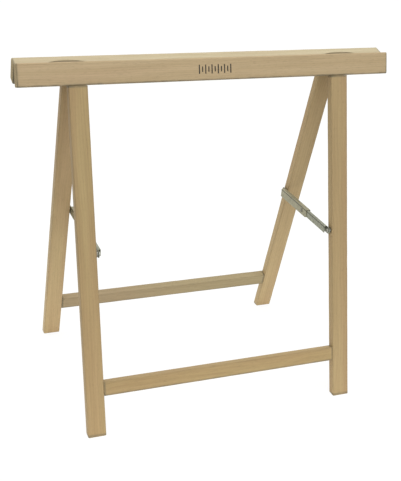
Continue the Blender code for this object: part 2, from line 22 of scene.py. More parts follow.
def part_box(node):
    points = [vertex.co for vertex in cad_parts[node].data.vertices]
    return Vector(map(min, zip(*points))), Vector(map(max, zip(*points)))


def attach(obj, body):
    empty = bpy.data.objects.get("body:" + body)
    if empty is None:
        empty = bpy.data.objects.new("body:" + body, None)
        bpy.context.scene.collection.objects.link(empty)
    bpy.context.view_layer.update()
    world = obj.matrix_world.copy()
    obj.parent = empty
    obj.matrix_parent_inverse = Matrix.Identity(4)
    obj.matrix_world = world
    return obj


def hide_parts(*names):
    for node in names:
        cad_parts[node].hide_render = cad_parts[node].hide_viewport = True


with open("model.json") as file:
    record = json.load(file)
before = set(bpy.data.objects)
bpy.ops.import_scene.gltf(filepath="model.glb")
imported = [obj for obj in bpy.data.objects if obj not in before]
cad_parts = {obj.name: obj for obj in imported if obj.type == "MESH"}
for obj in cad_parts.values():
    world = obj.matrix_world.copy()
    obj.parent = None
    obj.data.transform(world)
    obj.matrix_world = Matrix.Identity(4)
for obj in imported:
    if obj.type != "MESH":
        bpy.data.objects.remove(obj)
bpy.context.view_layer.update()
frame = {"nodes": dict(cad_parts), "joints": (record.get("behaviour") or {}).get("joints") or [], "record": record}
cad = frame["nodes"]
joints = {joint["name"]: joint for joint in frame["joints"]}

# %% [markdown]
# ## Directions of the two frames
#
# Each timber frame leans back from its feet to the hinge. The fold joint says how far:
# it closes the trestle, so its range is twice the lean of one frame. A frame's own
# directions are across (along the rails), out (square to the frame, away from the other
# frame) and down (from the hinge axis along the legs). Measured that way, every board
# is an upright box, and its sizes can be read straight off the CAD node.

# %% Frame directions
fold = joints["fold"]
HINGE_AXIS = Vector(fold["pos_m"])
SPLAY = math.radians(fold["range_deg"][1] / 2)
SIN_SPLAY = math.sin(SPLAY)
COS_SPLAY = math.cos(SPLAY)
ACROSS = Vector((1.0, 0.0, 0.0))
FACINGS = {"front": -1, "rear": 1}
HANDS = ("left", "right")


def out_of(facing):
    """The direction square to a frame, away from the other frame."""
    return Vector((0.0, facing * COS_SPLAY, SIN_SPLAY))


def down_of(facing):
    """The direction from the hinge down along a frame's legs."""
    return Vector((0.0, facing * SIN_SPLAY, -COS_SPLAY))


def frame_point(facing, x, out, down):
    """A world point from a frame's own measures, in metres from the hinge axis."""
    return HINGE_AXIS + ACROSS * x + out_of(facing) * out + down_of(facing) * down


def frame_ranges(node, facing):
    """The lowest and highest x, out and down of a CAD node."""
    points = [vertex.co - HINGE_AXIS for vertex in cad[node].data.vertices]
    measures = [[point.dot(direction) for point in points]
                for direction in (ACROSS, out_of(facing), down_of(facing))]
    return [(min(values), max(values)) for values in measures]


def middle(limits):
    """The middle of a range."""
    return (limits[0] + limits[1]) / 2


def span(limits):
    """The length of a range."""
    return limits[1] - limits[0]


print(f"each frame leans {math.degrees(SPLAY):.1f} degrees")

# %% [markdown]
# ## Camera
#
# The camera stands in front of the trestle, to its left and above it, as the
# photographer did. It was found by fitting the rails, legs and feet to the photograph.
# The frame is taken as 401 by 481 pixels, and the focal length is given in those pixels,
# so the lens follows from the frame's longer side.

# %% Place the camera
FRAME_LONG_SIDE = 481            # pixels
FOCAL_LENGTH = 934.5             # pixels
SENSOR_SIZE = 36.0               # millimetres, along the longer side
CAMERA_PLACE = Vector((-0.7121, -1.7349, 1.1933))
CAMERA_YAW = math.radians(22.50)     # to the right of straight along +Y
CAMERA_PITCH = math.radians(25.13)   # down from level
CAMERA_ROLL = math.radians(4.09)

ahead = Vector((math.sin(CAMERA_YAW) * math.cos(CAMERA_PITCH),
                math.cos(CAMERA_YAW) * math.cos(CAMERA_PITCH),
                -math.sin(CAMERA_PITCH)))
level_right = Vector((math.cos(CAMERA_YAW), -math.sin(CAMERA_YAW), 0.0))
level_up = level_right.cross(ahead)
right = level_right * math.cos(CAMERA_ROLL) + level_up * math.sin(CAMERA_ROLL)
up = level_up * math.cos(CAMERA_ROLL) - level_right * math.sin(CAMERA_ROLL)

camera = bpy.data.objects.new("camera", bpy.data.cameras.new("camera"))
camera.data.sensor_width = SENSOR_SIZE
camera.data.lens = FOCAL_LENGTH * SENSOR_SIZE / FRAME_LONG_SIDE
turn = Matrix((right, up, -ahead)).transposed().to_4x4()
camera.matrix_world = Matrix.Translation(CAMERA_PLACE) @ turn
bpy.context.scene.collection.objects.link(camera)
bpy.context.scene.camera = camera
print(f"lens {camera.data.lens:.1f} mm")

# %% [markdown]
# ## Helpers for shader and geometry trees
#
# Colours are written as sRGB hex values, as a paint program shows them, and the shader
# wants linear light, so one function turns them. Another adds a node with its settings
# and its inputs. Blender hides the sockets that a setting leaves unused, and the values
# go to those that are left, in the order in which the node shows them. With `partial`,
# each tree gets its own `add`, so the tree isn't named in every line. The kinds of node
# and the settings that come back often have short names.

# %% Colour and node helpers
MATH = "ShaderNodeMath"
VECTOR_MATH = "ShaderNodeVectorMath"
MIX = "ShaderNodeMix"
MAP_RANGE = "ShaderNodeMapRange"
NOISE = "ShaderNodeTexNoise"
JOIN_XYZ = "ShaderNodeCombineXYZ"
SPLIT_XYZ = "ShaderNodeSeparateXYZ"
PLUS = {"operation": "ADD"}
MINUS = {"operation": "SUBTRACT"}
TIMES = {"operation": "MULTIPLY"}
OVER = {"operation": "DIVIDE"}
TIMES_PLUS = {"operation": "MULTIPLY_ADD"}
SCALED = {"operation": "SCALE"}
SIZE_OF = {"operation": "ABSOLUTE"}
LENGTH_OF = {"operation": "LENGTH"}
GREATER = {"operation": "GREATER_THAN"}
LEAST = {"operation": "MINIMUM"}
MOST = {"operation": "MAXIMUM"}
NUMBERS = {"data_type": "FLOAT"}
COLOURS = {"data_type": "RGBA"}
SMOOTH = {"interpolation_type": "SMOOTHSTEP"}
WHITE = (1.0, 1.0, 1.0, 1.0)


def linear(hex_colour):
    """Turn an sRGB hex colour into the linear RGBA that a socket holds."""
    channels = [int(hex_colour[i:i + 2], 16) / 255 for i in (0, 2, 4)]
    return (*[c / 12.92 if c <= 0.04045 else ((c + 0.055) / 1.055) ** 2.4 for c in channels], 1.0)


def fill(socket, value):
    """Give a socket a number, vector or colour, or link it from a socket or a node's first output."""
    if isinstance(value, bpy.types.Node):
        value = next(output for output in value.outputs if output.enabled)
    if isinstance(value, bpy.types.NodeSocket):
        socket.id_data.links.new(value, socket)
    else:
        socket.default_value = value


def feed(node, **named):
    """Fill a node's inputs by their names, with _ for a space."""
    for name, value in named.items():
        shown = [socket for socket in node.inputs if socket.enabled]
        fill(next(socket for socket in shown if socket.name.replace(" ", "_") == name), value)


def add_node(tree, kind, *values, **named):
    """Add a node. A dict holds its settings, then values fill its inputs in order or by name."""
    made = tree.nodes.new(kind)
    if values and isinstance(values[0], dict):
        settings, *values = values
        for name, value in settings.items():
            setattr(made, name, value)
    shown = [socket for socket in made.inputs if socket.enabled]
    for socket, value in zip(shown, values):
        fill(socket, value)
    feed(made, **named)
    return made


def new_finish(name):
    """Start a material: the material, its `add`, its shader and its coordinates."""
    finish = bpy.data.materials.new(name)
    finish.use_nodes = True
    add = partial(add_node, finish.node_tree)
    return finish, add, finish.node_tree.nodes["Principled BSDF"], add("ShaderNodeTexCoord").outputs


print("linear(808080) =", round(linear("808080")[0], 4))

# %% [markdown]
# ## Light, floor and background
#
# The photograph is a cut-out on white, lit softly from above and a little from the front,
# with a strong bounce from a white floor. A large lamp overhead and a smaller, lower one
# give the direction and the soft shadows, and an even world fills them. Camera, glossy
# and transmission rays see the background at a strength of 1, which is white, while the
# rays that light the wood get the weaker world. The floor does the same: what the eye sees
# of it is mostly a white glow, and the rest is plain diffuse, so that the trestle's shadow
# stays. The floor that the light bounces from is a white sheet on a darker ground, so the
# feet get more of it than the rails, as in the photograph.

# %% Light the scene
WORLD_STRENGTH = 0.74
LAMPS = {"overhead_lamp": {"place": (0.0, -0.2, 3.6), "size": 2.4, "watts": 51.0},
         "front_lamp": {"place": (0.0, -3.7, 1.85), "size": 1.6, "watts": 22.0}}
LAMP_AIM = Vector((0.0, 0.0, 0.35))

scene = bpy.context.scene
scene.view_settings.view_transform = "Standard"


def seen_directly(add):
    """1 for camera, glossy and transmission rays, 0 for the light that falls on things."""
    rays = add("ShaderNodeLightPath").outputs
    seen = add(MATH, MOST, rays["Is Camera Ray"], rays["Is Glossy Ray"])
    return add(MATH, MOST, seen, rays["Is Transmission Ray"])


world = bpy.data.worlds.new("studio_world")
world.use_nodes = True
world.node_tree.nodes.clear()
add = partial(add_node, world.node_tree)
strength = add(MIX, NUMBERS, seen_directly(add), WORLD_STRENGTH, 1.0)
background = add("ShaderNodeBackground", WHITE, strength)
add("ShaderNodeOutputWorld", background)
scene.world = world

for name, facts in LAMPS.items():
    lamp = bpy.data.objects.new(name, bpy.data.lights.new(name, "AREA"))
    lamp.data.energy = facts["watts"]
    lamp.data.size = facts["size"]
    lamp.location = facts["place"]
    lamp.rotation_euler = (LAMP_AIM - lamp.location).to_track_quat("-Z", "Y").to_euler()
    scene.collection.objects.link(lamp)
    print(f"{name}: {facts['watts']:.0f} W, {lamp.location.length:.1f} m away")

# %% Lay the floor
FLOOR_SIZE = 30.0
FLOOR_GLOW = 0.90
FLOOR_SHADE = "6A6A67"           # of the part that keeps the shadow
SHEET_RADIUS = 0.5               # metres, where the white sheet starts to give way
GROUND_RADIUS = 1.4
SHEET_WHITE = "FAFAF8"
SHEET_GLOW = 0.15                # the sheet is a little lit from below
GROUND_GREY = "484846"

floor_paint = bpy.data.materials.new("pale_studio_floor")
floor_paint.use_nodes = True
floor_paint.node_tree.nodes.clear()
add = partial(add_node, floor_paint.node_tree)
from_middle = add(VECTOR_MATH, LENGTH_OF, add("ShaderNodeTexCoord").outputs["Object"])
past_sheet = add(MAP_RANGE, SMOOTH, from_middle, SHEET_RADIUS, GROUND_RADIUS)
ground = add(MIX, COLOURS, past_sheet, linear(SHEET_WHITE), linear(GROUND_GREY))
matt_ground = add("ShaderNodeBsdfDiffuse", ground)
lit_from_below = add(MATH, TIMES, add(MATH, MINUS, 1.0, past_sheet), SHEET_GLOW)
ground_glow = add("ShaderNodeEmission", WHITE, lit_from_below)
bounce = add("ShaderNodeAddShader", matt_ground, ground_glow)
shade = add("ShaderNodeBsdfDiffuse", linear(FLOOR_SHADE))
glow = add("ShaderNodeEmission", WHITE, FLOOR_GLOW)
shown = add("ShaderNodeAddShader", shade, glow)
chosen = add("ShaderNodeMixShader", seen_directly(add), bounce, shown)
add("ShaderNodeOutputMaterial", chosen)

half = FLOOR_SIZE / 2
floor_mesh = bpy.data.meshes.new("floor")
floor_mesh.from_pydata([(-half, -half, 0), (half, -half, 0), (half, half, 0), (-half, half, 0)],
                       [], [(0, 1, 2, 3)])
floor_mesh.materials.append(floor_paint)
floor = bpy.data.objects.new("floor", floor_mesh)
scene.collection.objects.link(floor)
print(f"floor {FLOOR_SIZE:.0f} m across")

# %% [markdown]
# ## Planed beech
#
# The boards are steamed beech, planed on four sides and left bare. Beech is pale with a
# pink cast. Its growth rings show only as soft lines a few millimetres apart, its colour
# drifts slowly between pink and straw, and it is covered in short dark flecks, the ends
# of its rays. A picture of wood could be wrapped round each board, but it would break at
# the corners, and all eight would show one figure. So a solid pattern is laid through the
# whole board, as in real wood: rings round a distant heart, stretched fibres and flecks.
# The rings then draw long figures on a face and arcs on an end by themselves.
#
# Each board is cut from another part of the log, so the pattern is turned until the
# grain runs along the board, and shifted by the board's own amount. Painted shade makes
# the arrises, most of all the rails' lower ones, and the last few millimetres at each end
# a little darker, in uneven patches, and the hinges' seats darker still. For that, every
# board keeps its points' own places as an attribute.

# %% The sizes of the grain
RING_SPACING = 0.0045            # metres between two rings, drawn a little wide to show
HEART_DISTANCE = 0.075           # from the board to the heart of the log
RING_WANDER = 0.014              # how far a ring strays along the board
WANDER_SIZE = (0.32, 0.065)      # of one such stray, along and across the grain
WANDER_DETAIL = 2.0
DRIFT = (0.45, 0.045, 1.0)       # a stretch of pinker or yellower wood: length, width, detail
STREAK = (0.30, 0.009, 2.5)
FIBRE = (0.060, 0.0011, 3.0)
FLECK = (0.008, 0.0010, 0.0)     # drawn twice its real size, or it would not show
GRAIN_DEPTH = 0.0003             # of the relief that planing leaves
ARRIS_SHADE_BAND = (0.0050, 0.0018)    # from the corner, where the painted shade starts and where it is full
# Where the painted shade at each end starts and where it is full
END_SHADE_BAND = (0.0050, 0.0015)
SEAT_SHADE_BAND = (0.0003, 0.0012)      # below the board's own surface, which only a cutter reaches: where the seats take painted shade


def along_grain(add, grain, length, width):
    """The place in the grain, measured in patterns of this length and width."""
    return add(VECTOR_MATH, TIMES, grain, (1 / length, 1 / width, 1 / width))


def ring_of(add, grain):
    """How far a point is from one growth ring to the next, 0 to 1."""
    bend = add(NOISE, along_grain(add, grain, *WANDER_SIZE), 1.0, WANDER_DETAIL)
    apart = add(SPLIT_XYZ, grain).outputs
    from_heart = add(MATH, PLUS, apart["Z"], HEART_DISTANCE)
    section = add(JOIN_XYZ, 0.0, apart["Y"], from_heart)
    distance = add(VECTOR_MATH, LENGTH_OF, section)
    bent = add(MATH, TIMES_PLUS, bend, 2 * RING_WANDER, distance)
    return add(MATH, {"operation": "FRACT"}, add(MATH, OVER, bent, RING_SPACING))


print(f"rings {1000 * RING_SPACING:.1f} mm apart")

# %% The tones of the wood
# Straw, pink and late wood for each kind of board, and each board's own cast of red, green and blue.
# A cast is partly the board's own tone and partly painted light: it makes the rear rail paler and greyer for a
# painted sheen on its top, and the rear legs lighter for the light on their inner faces
FACE_TONES = {"top_rail": ("CBB28C", "C7AC87", "B0966D"),
              "leg": ("C2A878", "BEA074", "A5885C"),
              "cross_rail": ("C2A878", "BEA074", "A5885C")}
BOARD_CASTS_AND_LIGHT = {"front_top_rail": (0.94, 0.96, 0.96), "rear_top_rail": (0.875, 1.01, 1.11),
               "front_left_leg": (0.885, 0.905, 0.90), "front_right_leg": (0.88, 0.89, 0.93),
               "rear_left_leg": (1.07, 1.12, 1.20), "rear_right_leg": (1.06, 1.10, 1.20),
               "front_cross_rail": (0.85, 0.85, 0.84), "rear_cross_rail": (0.78, 0.87, 1.01)}
END_TONE = "C6B28A"
# Painted shade on the arrises and at the ends of each board
EDGE_SHADE_TONE = "6F6852"
SEAT_SHADE_TONE = "6B5B42"              # painted shade, in the seats of the hinges
RING_SHARE = 0.18                # of the late wood's tone that a ring takes
END_SHADE_SHARE = 0.70                 # of the painted edge shade that an end takes
SEAT_SHADE_SHARE = 0.65                 # of the painted seat shade that a seat takes

# The shares of the painted edge shade at a board's lower and upper arrises; the rails' lower arrises lie in shade
ARRIS_SHADE_SHARES = {"top_rail": (0.62, 0.05), "leg": (0.08, 0.08), "cross_rail": (0.62, 0.08)}
PATCHES_PER_METRE = 45.0         # of uneven painted shade, so a patch is about 22 mm long
PATCH_DETAIL = 2.0

# What each pattern is read between, and what it then gives where that isn't 0 to 1
RAMPS = {"late_wood": (0.25, 0.97), "hue": (0.38, 0.62), "streak": (0.36, 0.72, 0.0, 0.34),
         "fibre": (0.30, 0.72, 0.93, 1.05), "fleck": (0.62, 0.74, 1.0, 0.90),
         "patch": (0.35, 0.65, 0.6, 1.3), "end_face": (0.55, 0.95), "end_ring": (0.0, 1.0, 1.10, 0.84)}
ROUGHNESS = (0.58, 0.48)         # of early and late wood
END_ROUGHNESS = 0.85
SATIN = 0.3                      # specular level of a planed face
RING_RELIEF = 0.4                # of late wood over the fibres
RELIEF_STRENGTH = 0.15
print(f"{len(BOARD_CASTS_AND_LIGHT)} boards, {len(RAMPS)} ramps")

# %% The wood itself


def painted_edge_and_seat_shade(add, sizes, arris_shares):
    """Painted shade toward the arrises and the ends, and where a cutter went into the seats."""
    width, thickness, length = sizes
    own = add("ShaderNodeAttribute", {"attribute_name": "board_place"}).outputs["Vector"]
    centred = add(VECTOR_MATH, MINUS, own, (0.0, 0.0, length / 2))
    inside = add(VECTOR_MATH, MINUS, (width / 2, thickness / 2, length / 2),
                 add(VECTOR_MATH, SIZE_OF, centred))
    left = add(SPLIT_XYZ, inside).outputs
    near = add(MAP_RANGE, SMOOTH, add(MATH, PLUS, left["X"], left["Y"]), *ARRIS_SHADE_BAND)
    upward = add(SPLIT_XYZ, own)
    share = add(MAP_RANGE, upward, -width / 2, width / 2, *arris_shares)
    arris = add(MATH, TIMES, near, share)
    end = add(MAP_RANGE, SMOOTH, left["Z"], *END_SHADE_BAND, 0.0, END_SHADE_SHARE)
    patches = add(NOISE, own, PATCHES_PER_METRE, PATCH_DETAIL)
    uneven = add(MAP_RANGE, patches, *RAMPS["patch"])
    nearest = add(MATH, LEAST, add(MATH, LEAST, left["X"], left["Y"]), left["Z"])
    cut = add(MAP_RANGE, nearest, *SEAT_SHADE_BAND, 0.0, SEAT_SHADE_SHARE)
    return add(MATH, TIMES, add(MATH, MOST, arris, end), uneven), cut


def planed_beech(name, kind, turns, shift, sizes):
    """Beech with its grain along X after the turns, from its own place in the log."""
    # Each board's cast is partly its own tone and partly painted light
    straw, pink, late = ([*map(math.prod, zip(linear(tone), BOARD_CASTS_AND_LIGHT[name])), 1.0]
                         for tone in FACE_TONES[kind])
    wood, add, shader, place = new_finish(f"planed_beech_{name}")
    grain = add("ShaderNodeMapping", place["Object"], shift, turns)
    ring = ring_of(add, grain)
    late_wood = add(MAP_RANGE, SMOOTH, ring, *RAMPS["late_wood"])
    drift, streak, fibre, fleck = (
        add(NOISE, along_grain(add, grain, length, width), 1.0, detail)
        for length, width, detail in (DRIFT, STREAK, FIBRE, FLECK))

    # Colour: the drift under the streaks and rings, then the fibres and flecks, then painted shade at the arrises,
    # the ends and the hinges' seats
    early = add(MIX, COLOURS, add(MAP_RANGE, SMOOTH, drift, *RAMPS["hue"]), straw, pink)
    streaks = add(MAP_RANGE, streak, *RAMPS["streak"])
    tone = add(MATH, {**TIMES_PLUS, "use_clamp": True}, late_wood, RING_SHARE, streaks)
    body = add(MIX, COLOURS, tone, early, late)
    fibres = add(MAP_RANGE, fibre, *RAMPS["fibre"])
    flecks = add(MAP_RANGE, fleck, *RAMPS["fleck"])
    fresh = add(VECTOR_MATH, SCALED, body, add(MATH, TIMES, fibres, flecks))
    grey, cut = painted_edge_and_seat_shade(add, sizes, ARRIS_SHADE_SHARES[kind])
    edge_shaded = add(MIX, COLOURS, grey, fresh, linear(EDGE_SHADE_TONE))
    # Painted shade in the hinges' seats
    face = add(MIX, COLOURS, cut, edge_shaded, linear(SEAT_SHADE_TONE))

    # End grain drinks the light: it is darker and rougher, with its rings drawn stronger
    turned = add("ShaderNodeMapping", {"vector_type": "NORMAL"}, place["Normal"], turns)
    facing_along = add(MATH, SIZE_OF, add(SPLIT_XYZ, turned))
    is_end = add(MAP_RANGE, facing_along, *RAMPS["end_face"])
    end_rings = add(MAP_RANGE, ring, *RAMPS["end_ring"])
    end_face = add(VECTOR_MATH, SCALED, linear(END_TONE)[:3], end_rings)
    colour = add(MIX, COLOURS, is_end, face, end_face)

    # Planing leaves a satin that shows at a flat angle, and late wood takes a little more polish
    rough_face = add(MAP_RANGE, tone, 0.0, 1.0, *ROUGHNESS)
    rough = add(MIX, NUMBERS, is_end, rough_face, END_ROUGHNESS)
    relief = add(MATH, TIMES_PLUS, late_wood, RING_RELIEF, fibre)
    bump = add("ShaderNodeBump", Strength=RELIEF_STRENGTH, Distance=GRAIN_DEPTH, Height=relief)
    feed(shader, Base_Color=colour, Specular_IOR_Level=SATIN, Roughness=rough, Normal=bump)
    return wood


print("planed_beech is ready")

# %% [markdown]
# ## The boards
#
# A box with a Bevel modifier would make a board quickly, but with edges that are straight
# and whole from end to end. A planed board is also a rectangle with eased corners, swept
# along a line: a Geometry Nodes tree says just that, with the sizes as named inputs. The
# line is resampled so that the edges have points to move, the ends are drawn in ring by
# ring along a quarter circle, a noise wears the arrises down here and there by a fraction
# of a millimetre, and a leg's foot is slid along the grain until it lies level on the
# floor. The same tree makes all eight boards. Its X runs across the board, Y out of the
# frame and Z along the grain.

# %% Start, close and round a tree
END_STEPS = 4                    # rings in the quarter circle of an end
END_NORMAL = 0.9                 # a face that points this far along the board is its end
SET_POSITION = "GeometryNodeSetPosition"
EXTRUDE = ("GeometryNodeExtrudeMesh", {"mode": "FACES"})


def tree_with_inputs(name, numbers):
    """Start a geometry tree with a geometry, named numbers and a material: its `add` and inputs."""
    tree = bpy.data.node_groups.new(name, "GeometryNodeTree")
    tree.interface.new_socket("Geometry", in_out="INPUT", socket_type="NodeSocketGeometry")
    for label, value in numbers.items():
        kind = "NodeSocketInt" if isinstance(value, int) else "NodeSocketFloat"
        tree.interface.new_socket(label, in_out="INPUT", socket_type=kind).default_value = value
    tree.interface.new_socket("Material", in_out="INPUT", socket_type="NodeSocketMaterial")
    tree.interface.new_socket("Geometry", in_out="OUTPUT", socket_type="NodeSocketGeometry")
    add = partial(add_node, tree)
    return add, add("NodeGroupInput").outputs


def end_tree(add, size, shape):
    """Close a tree with real geometry, one material and the output, and return it."""
    real = add("GeometryNodeRealizeInstances", shape)
    dressed = add("GeometryNodeSetMaterial", real, Material=size["Material"])
    return add("NodeGroupOutput", dressed).id_data


def round_ends(add, shape, corner, radius):
    """Draw both ends out in rings that follow a quarter circle."""
    normal = add(SPLIT_XYZ, add("GeometryNodeInputNormal"))
    top = add(MATH, GREATER, add(MATH, SIZE_OF, normal.outputs["Z"]), END_NORMAL)
    for step in range(END_STEPS):
        low, high = (math.pi / 2 * number / END_STEPS for number in (step, step + 1))
        rise = add(MATH, TIMES, radius, math.sin(high) - math.sin(low))
        draw = add(MATH, TIMES, radius, math.cos(high) - math.cos(low))
        pushed = add(*EXTRUDE, shape, top, Offset_Scale=rise, Individual=False)
        top = pushed.outputs["Top"]
        shape = add(SET_POSITION, pushed, top, Offset=add(VECTOR_MATH, SCALED, corner, draw))
    return shape


print(f"an end is rounded in {END_STEPS} steps")

# %% A tree that planes a board
BOARD_SIZES = {"Length": 0.8, "Width": 0.045, "Thickness": 0.023, "Outer Radius": 0.0025,
               "Inner Radius": 0.001, "Start Radius": 0.001, "End Radius": 0.001, "Foot Slope": 0.0,
               "Station Spacing": 0.005, "Wear Depth": 0.0007, "Wear Length": 0.035, "Seed": 0}
CORNER_POINTS = 5                # in each eased corner of the section
WEAR_RAMP = (0.42, 0.78)         # the noise between whole and worn
WEAR_DETAIL = 3.0


def board_tree():
    """Build the tree that planes one board, along Z from its origin."""
    add, size = tree_with_inputs("planed_board", BOARD_SIZES)
    place = add("GeometryNodeInputPosition")
    here = add(SPLIT_XYZ, place).outputs
    outer = add(MATH, GREATER, here["Y"], 0.0)
    radius = add(MIX, NUMBERS, outer, size["Inner Radius"], size["Outer Radius"])
    far = add(MATH, GREATER, here["Z"], add(MATH, TIMES, size["Length"], 0.5))
    end_radius = add(MIX, NUMBERS, far, size["Start Radius"], size["End Radius"])

    # The section, and the line that it is swept along, short of the ends by their radii
    section = add("GeometryNodeCurvePrimitiveQuadrilateral", {"mode": "RECTANGLE"},
                  size["Width"], size["Thickness"])
    eased = add("GeometryNodeFilletCurve", {"mode": "POLY"}, section, CORNER_POINTS, radius)
    start = add(JOIN_XYZ, Z=size["Start Radius"])
    stop = add(JOIN_XYZ, Z=add(MATH, MINUS, size["Length"], size["End Radius"]))
    line = add("GeometryNodeCurvePrimitiveLine", start, stop)
    stations = add("GeometryNodeResampleCurve", {"mode": "LENGTH"}, line,
                   Length=size["Station Spacing"])
    swept = add("GeometryNodeCurveToMesh", stations, eased, Fill_Caps=True)

    # Which corner of the section a point belongs to, and how far round its easing it is
    corner = add(JOIN_XYZ, *(add(MATH, {"operation": "SIGN"}, here[axis]) for axis in "XY"))
    rounded = round_ends(add, swept, corner, end_radius)
    shares = []
    for axis, extent in (("X", "Width"), ("Y", "Thickness")):
        half_extent = add(MATH, TIMES, size[extent], 0.5)
        past = add(MATH, MINUS, add(MATH, SIZE_OF, here[axis]), half_extent)
        shares.append(add(MATH, {**PLUS, "use_clamp": True}, add(MATH, OVER, past, radius), 1.0))
    roundness = add(MATH, TIMES, *shares)

    # Wear: the arris is drawn in where the noise is high
    scale = add(MATH, OVER, 1.0, size["Wear Length"])
    noise = add(NOISE, {"noise_dimensions": "4D"}, place, size["Seed"], scale, WEAR_DETAIL)
    worn = add(MAP_RANGE, noise, *WEAR_RAMP)
    least = add(MATH, LEAST, size["Wear Depth"], radius)
    depth = add(MATH, TIMES, add(MATH, TIMES, roundness, worn), least)
    pull = add(VECTOR_MATH, SCALED, corner, add(MATH, TIMES, depth, -1.0))
    worn_board = add(SET_POSITION, rounded, Offset=pull)

    # The foot: points slide along the grain, more and more toward the far end
    share = add(MATH, OVER, here["Z"], size["Length"])
    slope = add(MATH, TIMES, here["Y"], size["Foot Slope"])
    slide = add(JOIN_XYZ, Z=add(MATH, TIMES, slope, share))
    return end_tree(add, size, add(SET_POSITION, worn_board, Offset=slide))


PLANE_A_BOARD = board_tree()
print(f"{PLANE_A_BOARD.name}: {len(PLANE_A_BOARD.nodes)} nodes")

# %% [markdown]
# ## Seats for the hinges
#
# The hinges' barrels are sunk between the two rails, below their tops. A round cutter
# plunges along the hinge axis, so each seat has a half-round bottom, and it runs out some
# way past the barrel. The seat's mouth widens toward the top, most in the middle, where
# the cutter bit deepest, and shows as a dark lens between the rails. The tree takes the
# planed rail as it is, and cuts a cylinder and a wedge above it out of its inner edge,
# once over each leg. Boolean modifiers with cutters placed by hand would cut the same
# seats, but here the cutters take their sizes and places from the tree's inputs.

# %% A tree that cuts the seats
SEAT_SIZES = {"Radius": 0.00305, "Length": 0.043, "Spacing": 0.566, "Middle": 0.4,
              "Axis Height": 0.016, "Axis Out": -0.0136, "Depth": 0.0065, "Mouth Width": 0.0104}
SEAT_SIDES = 40                  # of the round cutter
MOUTH_STATIONS = 61              # along the seat, to draw the curve of its mouth
CUT_AWAY = ("GeometryNodeMeshBoolean", {"solver": "EXACT", "operation": "DIFFERENCE"})


def seat_tree():
    """Build the tree that cuts a groove along the hinge axis at two places of a rail."""
    add, size = tree_with_inputs("hinge_seats", SEAT_SIZES)
    nearer = add(MATH, MINUS, size["Middle"], add(MATH, TIMES, size["Spacing"], 0.5))
    first = add(JOIN_XYZ, size["Axis Height"], size["Axis Out"], nearer)
    apart = add(JOIN_XYZ, Z=size["Spacing"])
    places = add("GeometryNodeMeshLine", 2, first, apart)
    round_part = add("GeometryNodeMeshCylinder", SEAT_SIDES, 1, 1, size["Radius"], size["Length"])

    # The wedge is a box, twice as high as the seat is deep, whose points move out as they rise
    across = add(MATH, TIMES, size["Radius"], 2.0)
    tall = add(MATH, TIMES, size["Depth"], 2.0)
    box_size = add(JOIN_XYZ, tall, across, size["Length"])
    box = add("GeometryNodeMeshCube", box_size, 2, 2, MOUTH_STATIONS)
    lifted = add("GeometryNodeTransform", box, add(JOIN_XYZ, size["Depth"]))
    growth = add(MATH, OVER, add(MATH, MINUS, size["Mouth Width"], across), across)
    corner = add(SPLIT_XYZ, add("GeometryNodeInputPosition")).outputs
    share = add(MATH, TIMES, add(MATH, OVER, corner["X"], size["Depth"]), growth)
    along = add(MATH, OVER, corner["Z"], add(MATH, TIMES, size["Length"], 0.5))
    lens = add(MATH, MINUS, 1.0, add(MATH, TIMES, along, along))
    widened = add(MATH, TIMES, add(MATH, TIMES, share, lens), corner["Y"])
    mouth = add(SET_POSITION, lifted, Offset=add(JOIN_XYZ, Y=widened))
    cut = add(*CUT_AWAY, size["Geometry"])
    for cutter in (round_part, mouth):
        placed = add("GeometryNodeInstanceOnPoints", places, Instance=cutter)
        feed(cut, Mesh_2=add("GeometryNodeRealizeInstances", placed))
    return end_tree(add, size, cut)


CUT_HINGE_SEATS = seat_tree()
print(f"{CUT_HINGE_SEATS.name}: {len(CUT_HINGE_SEATS.nodes)} nodes")

# %% [markdown]
# ## From a tree to a plain mesh
#
# A tree runs as a modifier on a carrier object, whose mesh is the tree's geometry input.
# Its inputs are set by their identifiers before it is first evaluated. The result is then
# turned into a plain mesh, moved to its place in the model, and given to an object at the
# origin that rides on its body. The tree could stay live on the piece, but a plain mesh
# can be marked, moved and cut again.

# %% Bake a tree into a piece
SMOOTH_ANGLE = math.radians(32)


def bake_tree(tree, start=None, **values):
    """Run a geometry tree with these inputs on a starting mesh, and return the result as a mesh."""
    carrier = bpy.data.objects.new("carrier", start or bpy.data.meshes.new("carrier"))
    scene.collection.objects.link(carrier)
    modifier = carrier.modifiers.new("tree", "NODES")
    modifier.node_group = tree
    for item in tree.interface.items_tree:
        label = item.name.replace(" ", "_")
        if item.in_out == "INPUT" and label in values:
            modifier[item.identifier] = values[label]
    carrier.update_tag()
    graph = bpy.context.evaluated_depsgraph_get()
    mesh = bpy.data.meshes.new_from_object(carrier.evaluated_get(graph))
    bpy.data.objects.remove(carrier)
    return mesh


def keep_board_places(mesh):
    """Keep each point's place on its own board, before the board goes into the model."""
    places = mesh.attributes.new("board_place", "FLOAT_VECTOR", "POINT")
    for kept, vertex in zip(places.data, mesh.vertices):
        kept.vector = vertex.co


def set_in_place(mesh, origin, x_axis, z_axis):
    """Move a mesh made about its own origin to its place in the model."""
    turn = Matrix((x_axis, z_axis.cross(x_axis), z_axis)).transposed().to_4x4()
    mesh.transform(Matrix.Translation(origin) @ turn)


def add_piece(name, mesh, body, stands_for=(), bevel=0.0):
    """Make a finished mesh a piece of the model, riding on a body."""
    mesh.name = name
    piece = bpy.data.objects.new(name, mesh)
    scene.collection.objects.link(piece)
    mesh.shade_smooth()
    mesh.set_sharp_from_angle(angle=SMOOTH_ANGLE)
    if bevel:
        ease = piece.modifiers.new("ease_edges", "BEVEL")
        ease.width = bevel
        ease.segments = 2
        ease.angle_limit = SMOOTH_ANGLE
    piece.modifiers.new("weigh_normals", "WEIGHTED_NORMAL").keep_sharp = True
    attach(piece, body)
    if stands_for:
        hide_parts(*stands_for)
    return piece


print("bake_tree, set_in_place and add_piece are ready")
